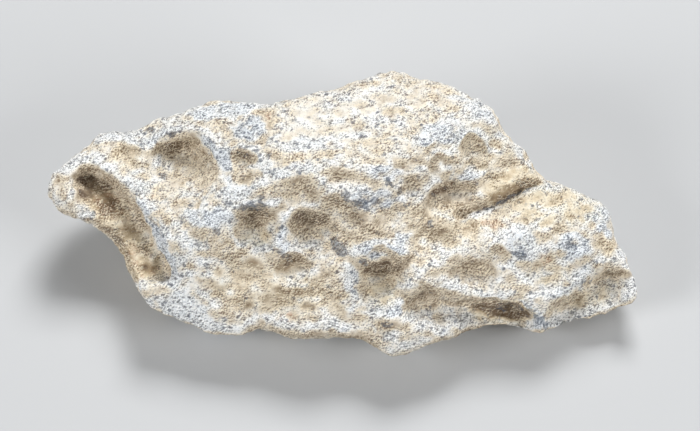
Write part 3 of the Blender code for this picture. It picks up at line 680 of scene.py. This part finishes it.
class Wire:
    # one output of a material's nodes: sums written with it become Math nodes
    def __init__(self, tree, socket=None):
        self.tree = tree
        self.socket = socket

    def node(self, kind, settings=None, sockets=None, output=0):
        made = self.tree.nodes.new(kind)
        for name, value in (settings or {}).items():
            if name == "stops":
                self.setStops(made.color_ramp, value)
            else:
                setattr(made, name, value)
        for name, value in (sockets or {}).items():
            if isinstance(value, Wire):
                self.tree.links.new(value.socket, made.inputs[name])
            else:
                made.inputs[name].default_value = value
        return Wire(self.tree, made.outputs[output])

    def setStops(self, ramp, stops):
        while len(ramp.elements) < len(stops):
            ramp.elements.new(1.0)
        for element, (position, colour) in zip(ramp.elements, stops):
            element.position = position
            element.color = (*colour, 1)

    def math(self, operation, first, second):
        return self.node("ShaderNodeMath", {"operation": operation}, {0: first, 1: second})

    def __add__(self, other):
        return self.math("ADD", self, other)

    def __radd__(self, other):
        return self.math("ADD", other, self)

    def __sub__(self, other):
        return self.math("SUBTRACT", self, other)

    def __rsub__(self, other):
        return self.math("SUBTRACT", other, self)

    def __mul__(self, other):
        return self.math("MULTIPLY", self, other)

    def __rmul__(self, other):
        return self.math("MULTIPLY", other, self)

    def power(self, exponent):
        return self.math("POWER", self, exponent)

    def randomOf(self, cellColour, channel):
        return self.node("ShaderNodeSeparateColor", None, {0: cellColour}, channel)

    def eased(self, low, high):
        return self.node("ShaderNodeMapRange", {"interpolation_type": "SMOOTHSTEP"},
                         {"Value": self, "From Min": low, "From Max": high})

    def mixed(self, factor, first, second, blend="MIX"):
        return self.node("ShaderNodeMix", {"data_type": "RGBA", "blend_type": blend},
                         {0: factor, 6: first, 7: second}, 2)

    def grain(self, place, size, detail=2.0, roughness=0.5, output=0):
        # smooth noise whose lumps are about this many mm across
        return self.node("ShaderNodeTexNoise", None,
                         {"Vector": place, "Scale": 1 / (size * mm), "Detail": detail,
                          "Roughness": roughness}, output)

    def cells(self, place, size, output="Color"):
        return self.node("ShaderNodeTexVoronoi", None,
                         {"Vector": place, "Scale": 1 / (size * mm)}, output)

    def attribute(self, name):
        return self.node("ShaderNodeAttribute", {"attribute_name": name}, None, "Fac")

    def shifted(self, place, noiseColour, amount):
        # the place pushed about by a noise, so that no pattern has clean edges
        push = self.node("ShaderNodeVectorMath", {"operation": "SUBTRACT"},
                         {0: noiseColour, 1: (0.5, 0.5, 0.5)})
        push = self.node("ShaderNodeVectorMath", {"operation": "SCALE"},
                         {0: push, "Scale": amount * mm})
        return self.node("ShaderNodeVectorMath", {"operation": "ADD"}, {0: place, 1: push})


# What the breccia looks like: colours are linear, and lengths are in mm.
brecciaLook = {
    "warmStops": [
        (0.00, (0.83, 0.865, 0.90)),
        (0.20, (0.945, 0.94, 0.915)),
        (0.38, (0.86, 0.815, 0.73)),
        (0.58, (0.70, 0.615, 0.495)),
        (0.80, (0.42, 0.335, 0.24)),
        # the darkest stops are reached mostly where shade is painted: the trough hole, the scoop and
        # the pits' tops
        (1.00, (0.15, 0.105, 0.075)),
    ],
    "ochreTint": (1.0, 0.95, 0.83, 1),
    "blueGrey": (0.36, 0.40, 0.45, 1),
    "darkSpeck": (0.055, 0.065, 0.085, 1),
    "greySpeck": (0.21, 0.26, 0.34, 1),
    "brownSpeck": (0.26, 0.185, 0.12, 1),
    # the next six colours paint the grains' highlights and the shadows in the gaps under them, in the
    # grains' own hues
    "whiteGrainAndHighlight": (0.98, 0.975, 0.95, 1),
    "blueWhite": (0.91, 0.94, 0.97, 1),
    "creamGrainAndHighlight": (0.93, 0.835, 0.655, 1),
    "brownGrainShadow": (0.17, 0.11, 0.065, 1),
    "greyGrainShadow": (0.17, 0.17, 0.165, 1),
    "blueGrainShadow": (0.13, 0.15, 0.18, 1),
    "darkClastAndShade": (0.10, 0.125, 0.165, 1),
    "poreGrey": (0.10, 0.12, 0.155, 1),
    "rust": (0.50, 0.24, 0.12, 1),

    # sizes of the random cells, and noises as size, detail and roughness
    "cells": {"finest": 0.25, "small": 0.44, "middling": 0.85, "pores": 1.15},
    "noises": {
        "ragged": (0.5, 3, 0.7),
        "patches": (4.5, 2, 0.6),
        "mottle": (1.5, 2, 0.5),
        "clusters": (2.6, 3, 0.6),
        "grainLight": (0.42, 2, 0.6),
        "grainLightWide": (0.9, 2, 0.6),
        "streaks": (0.75, 2, 0.5),
        "relief": (0.75, 3, 0.65),
    },
    "raggedness": 0.45,      # how far the grains' edges are pushed about

    # where plain rock stands along the warm stops, and what moves it
    "plainWarmth": 0.44,
    # the hollows' shares are partly their own tan, partly painted shade; the last share is painted
    # shade
    "warmShares": {"wideHollow": 0.02, "closeHollow": 0.07, "warm": 0.27, "shelter": 0.40},
    "patchShare": 0.60,
    "mottleShare": 0.55,
    "evenness": 0.45,        # how much of the last two a smooth place loses
    "crustMottle": 0.4,
    "crustSpan": (0.52, 0.15),     # warmth where the crust starts, and where it is full

    # grains and pores dealt out by lot: what the crust and the clusters add, start and full
    "dealt": {
        "coarse": (0.10, 0.40, 0.94, 1.02),
        "blue": (0.20, 0.35, 1.00, 1.45),
        "brown": (-0.06, -0.12, 0.93, 1.00),
        "pores": (0.36, 0.60, 0.95, 1.15),
    },
    "blueMark": 0.34,        # what a blue mark adds to the lot
    "shadePower": 4.0,       # a high power leaves only a few grains much darker
    "poreRadius": 0.40,      # in cells
    "poreEdge": 0.14,

    # listed marks: what mottle and grain add to their edges, start and full
    "marks": {"dark": (1.6, 0.6, 0.30, 0.80), "rust": (1.0, 0.5, 0.35, 0.95)},

    # how much of its colour each layer gives, and for two of them what each grain's lot adds
    "strengths": {
        "shade": 0.35, "blue": 0.50, "brown": 0.35, "pores": 0.85, "rust": 0.50,
        "grainHighlight": 0.85, "grainShadows": 0.88, "coarse": (0.45, 0.5), "dark": (0.65, 0.35),
    },

    # painted light and shade on the grains: the way to the light side, the step that way, and what
    # gives them contrast
    "grainLightWay": np.array([-0.45, 0.56, 0.69]),
    "grainLightStep": 0.115,
    "grainLightShares": (11.0, 2.0),     # of the step's difference and of the wider noise
    "bite": 0.90,
    "crustBite": 0.45,
    "clusterBite": 2.2,
    "smoothBite": 0.5,
    "streakTurn": (0, math.radians(-11), math.radians(17)),
    "streakLength": 7,
    "streakShare": 3.4,
    "blueSpan": (0.8, 0.0, 0.8),   # share of the clusters, start and full
    "grainHighlightSpan": (-0.10, 0.75),
    "grainShadowSpan": (0.28, 0.88),
    "darkPaleLoss": 0.5,         # how much less a dark clast and a pore are painted pale, as if lit
    "porePaleLoss": 0.6,

    "grainRelief": 0.10,
    "bumpDepth": 0.60,
    "roughness": 0.95,
    "coarseShine": 0.35,
    "specular": 0.25,
}


def rockMeasures(new):
    # what the layers of colour are worked out from
    look, noises, cells = brecciaLook, brecciaLook["noises"], brecciaLook["cells"]
    place = new.node("ShaderNodeTexCoord", None, None, "Object")
    ragged = new.shifted(place, new.grain(place, *noises["ragged"], "Color"), look["raggedness"])
    smooth = new.attribute("smooth")
    patches = new.grain(place, *noises["patches"]) - 0.5
    mottle = new.grain(place, *noises["mottle"]) - 0.5
    warmth = look["plainWarmth"]
    for name, share in look["warmShares"].items():
        warmth = warmth + new.attribute(name) * share
    uneven = patches * look["patchShare"] + mottle * look["mottleShare"]
    warmth = warmth + uneven * (1 - smooth * look["evenness"])
    start, full = look["crustSpan"]
    return SimpleNamespace(
        place=place, ragged=ragged, smooth=smooth, mottle=mottle, warmth=warmth,
        blue=new.attribute("blue"),
        crust=1 - (warmth - mottle * look["crustMottle"]).eased(full, start),
        clusters=(new.grain(place, *noises["clusters"]) - 0.5) * 2.0,
        finest=new.randomOf(new.cells(ragged, cells["finest"]), 0),
        small=new.randomOf(new.cells(ragged, cells["small"]), 1),
        middling=new.randomOf(new.cells(ragged, cells["middling"]), 2),
    )


def dealt(rock, lot, kind):
    crustShare, clusterShare, start, full = brecciaLook["dealt"][kind]
    return (lot + rock.crust * crustShare + rock.clusters * clusterShare).eased(start, full)


def layGrains(new, rock, ground):
    # every grain of the rock has its own shade: brownish in the hollows, blue-grey on the crust
    look, strengths = brecciaLook, brecciaLook["strengths"]
    speck = new.mixed(rock.crust, look["brownSpeck"], look["greySpeck"])
    ground = new.mixed(rock.finest.power(look["shadePower"]) * strengths["shade"], ground, speck)
    plain, more = strengths["coarse"]
    rock.coarse = dealt(rock, rock.small, "coarse")
    ground = new.mixed(rock.coarse * (plain + rock.finest * more), ground, look["darkSpeck"])
    blue = dealt(rock, rock.middling + rock.blue * look["blueMark"], "blue")
    ground = new.mixed(blue * strengths["blue"], ground, look["blueGrey"])
    brown = dealt(rock, 1 - rock.middling, "brown")
    return new.mixed(brown * strengths["brown"], ground, look["brownSpeck"])


def layPores(new, rock, ground):
    # small and dark, and crowded together on the crust
    look, size = brecciaLook, brecciaLook["cells"]["pores"]
    depth = look["poreRadius"] - new.cells(rock.ragged, size, "Distance")
    share = dealt(rock, new.randomOf(new.cells(rock.ragged, size), 1), "pores")
    rock.pores = depth.eased(0.0, look["poreEdge"]) * share
    return new.mixed(rock.pores * look["strengths"]["pores"], ground, look["poreGrey"])


def marked(new, rock, name):
    mottleShare, grainShare, start, full = brecciaLook["marks"][name]
    ragged = rock.mottle * mottleShare + (rock.small - 0.5) * grainShare
    return (new.attribute(name) + ragged).eased(start, full)


def layMarks(new, rock, ground):
    # the ochre tint, and the listed clasts, stains and painted shade in the crack and under a scoop's
    # wall
    look, strengths = brecciaLook, brecciaLook["strengths"]
    ochre = new.attribute("ochre").eased(0.0, 1.0)
    ground = new.mixed(ochre, ground, look["ochreTint"], "MULTIPLY")
    plain, more = strengths["dark"]
    rock.dark = marked(new, rock, "dark")
    ground = new.mixed(rock.dark * (plain + rock.finest * more), ground, look["darkClastAndShade"])
    return new.mixed(marked(new, rock, "rust") * strengths["rust"], ground, look["rust"])


def paintGrainLight(new, rock, ground):
    # painted light and shade: the grains' sides towards the light are painted pale as if lit, and
    # painted shadow darkens the gaps under them
    look, noises, strengths = brecciaLook, brecciaLook["noises"], brecciaLook["strengths"]
    lifted = new.node("ShaderNodeVectorMath", {"operation": "ADD"},
                      {0: rock.ragged, 1: tuple(look["grainLightWay"] * look["grainLightStep"] * mm)})
    step = new.grain(rock.ragged, *noises["grainLight"]) - new.grain(lifted, *noises["grainLight"])
    broad = new.grain(rock.place, *noises["grainLightWide"]) - 0.5
    bite = (look["bite"] + rock.crust * look["crustBite"] + rock.clusters * look["clusterBite"]
            - rock.smooth * look["smoothBite"])
    stepShare, broadShare = look["grainLightShares"]
    grainLight = (step * stepShare + broad * broadShare) * bite
    lines = new.node("ShaderNodeMapping", {"vector_type": "TEXTURE"},
                     {"Vector": rock.ragged, "Rotation": look["streakTurn"],
                      "Scale": (look["streakLength"], 1, 1)})
    streaks = (new.grain(lines, *noises["streaks"]) - 0.5) * look["streakShare"]
    grainLight = grainLight + streaks * new.attribute("streaks")

    clusterShare, start, full = look["blueSpan"]
    blueShare = rock.crust * (rock.blue + rock.clusters * clusterShare).eased(start, full)
    # the painted highlight and shadow take the grains' own cream, white, blue and brown hues
    grainHighlight = new.mixed(rock.crust, look["creamGrainAndHighlight"], look["whiteGrainAndHighlight"])
    grainHighlight = new.mixed(blueShare, grainHighlight, look["blueWhite"])
    gap = new.mixed(rock.crust, look["brownGrainShadow"], look["greyGrainShadow"])
    gap = new.mixed(blueShare, gap, look["blueGrainShadow"])
    highlightShare = strengths["grainHighlight"] - rock.dark * look["darkPaleLoss"] - rock.pores * look["porePaleLoss"]
    ground = new.mixed(grainLight.eased(*look["grainHighlightSpan"]) * highlightShare, ground, grainHighlight)
    return new.mixed((0 - grainLight).eased(*look["grainShadowSpan"]) * strengths["grainShadows"], ground, gap)


def brecciaMaterial():
    look = brecciaLook
    material = bpy.data.materials.new("anorthosite_breccia")
    material.use_nodes = True
    tree = material.node_tree
    surface = tree.nodes["Principled BSDF"]
    new = Wire(tree)
    rock = rockMeasures(new)
    ground = new.node("ShaderNodeValToRGB", {"stops": look["warmStops"]}, {0: rock.warmth})
    # each layer leaves in rock what a later one needs: coarse, pores and dark
    for layer in (layGrains, layPores, layMarks, paintGrainLight):
        ground = layer(new, rock, ground)
    relief = new.grain(rock.ragged, *look["noises"]["relief"]) + rock.small * look["grainRelief"]
    bump = new.node("ShaderNodeBump", None,
                    {"Strength": 1.0, "Distance": look["bumpDepth"] * mm, "Height": relief})
    roughness = look["roughness"] - rock.coarse * look["coarseShine"]
    tree.links.new(ground.socket, surface.inputs["Base Color"])
    tree.links.new(bump.socket, surface.inputs["Normal"])
    tree.links.new(roughness.socket, surface.inputs["Roughness"])
    surface.inputs["Specular IOR Level"].default_value = look["specular"]
    return material


stone = shapeStone()
carveStone(stone)
toneStone(stone)
pickOnly(stone)
bpy.ops.object.shade_smooth()
stone.data.materials.clear()
stone.data.materials.append(brecciaMaterial())
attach(stone, "root")
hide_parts("meteorite")
print("stone finished")


studio = {
    "floorSize": 6,          # metres
    "floorColour": (0.50, 0.51, 0.52, 1),
    "floorRoughness": 0.9,
    # azimuth and elevation that the light comes from, power
    "lights": {"left_light": (-60, 30, 5.2), "right_light": (60, 27, 4.8),
               "back_light": (168, 51, 8.0)},
    "airStrength": 0.08,
    "lightSize": 0.36,       # metres, as the next two are
    "lightDistance": 0.9,
    "sight": 0.9,            # from the camera to the place it looks at
    "sensor": 36,            # mm, as the rest are
    "widthSeen": 133.105,
    "aim": (1.43, 8.46, 18.0),     # the place it looks at: across, up and out
}


def addSoftLight(name, azimuth, elevation, power):
    light = bpy.data.lights.new(name, "AREA")
    light.size = studio["lightSize"]
    light.energy = power
    holder = bpy.data.objects.new(name, light)
    bpy.context.scene.collection.objects.link(holder)
    turn, rise = math.radians(azimuth), math.radians(elevation)
    level = math.cos(rise)
    way = Vector((math.sin(turn) * level, -math.cos(turn) * level, math.sin(rise)))
    holder.location = way * studio["lightDistance"]
    holder.rotation_euler = way.to_track_quat("Z", "Y").to_euler()


def addFloor():
    bpy.ops.object.select_all(action="DESELECT")
    bpy.ops.mesh.primitive_plane_add(size=studio["floorSize"])
    floor = bpy.context.object
    floor.name = "studio_floor"
    paint = bpy.data.materials.new("pale_floor")
    paint.use_nodes = True
    sockets = paint.node_tree.nodes["Principled BSDF"].inputs
    sockets["Base Color"].default_value = studio["floorColour"]
    sockets["Roughness"].default_value = studio["floorRoughness"]
    floor.data.materials.append(paint)


def addAir():
    world = bpy.data.worlds.new("studio_air")
    bpy.context.scene.world = world
    world.use_nodes = True
    sockets = world.node_tree.nodes["Background"].inputs
    sockets["Color"].default_value = (1, 1, 1, 1)
    sockets["Strength"].default_value = studio["airStrength"]


def addCamera():
    camera = bpy.data.cameras.new("camera")
    camera.sensor_width = studio["sensor"]
    camera.lens = studio["sensor"] * studio["sight"] / (studio["widthSeen"] * mm)
    holder = bpy.data.objects.new("camera", camera)
    bpy.context.scene.collection.objects.link(holder)
    target = (frontMiddle + np.array(studio["aim"]) @ frontAxes) * mm
    out = Vector(frontAxes[2])
    holder.location = Vector(target) + out * studio["sight"]
    holder.rotation_euler = out.to_track_quat("Z", "Y").to_euler()
    bpy.context.scene.camera = holder


def buildStudio():
    addFloor()
    for name, light in studio["lights"].items():
        addSoftLight(name, *light)
    addAir()
    addCamera()
    bpy.context.scene.view_settings.view_transform = "Standard"
    print("studio built")


buildStudio()
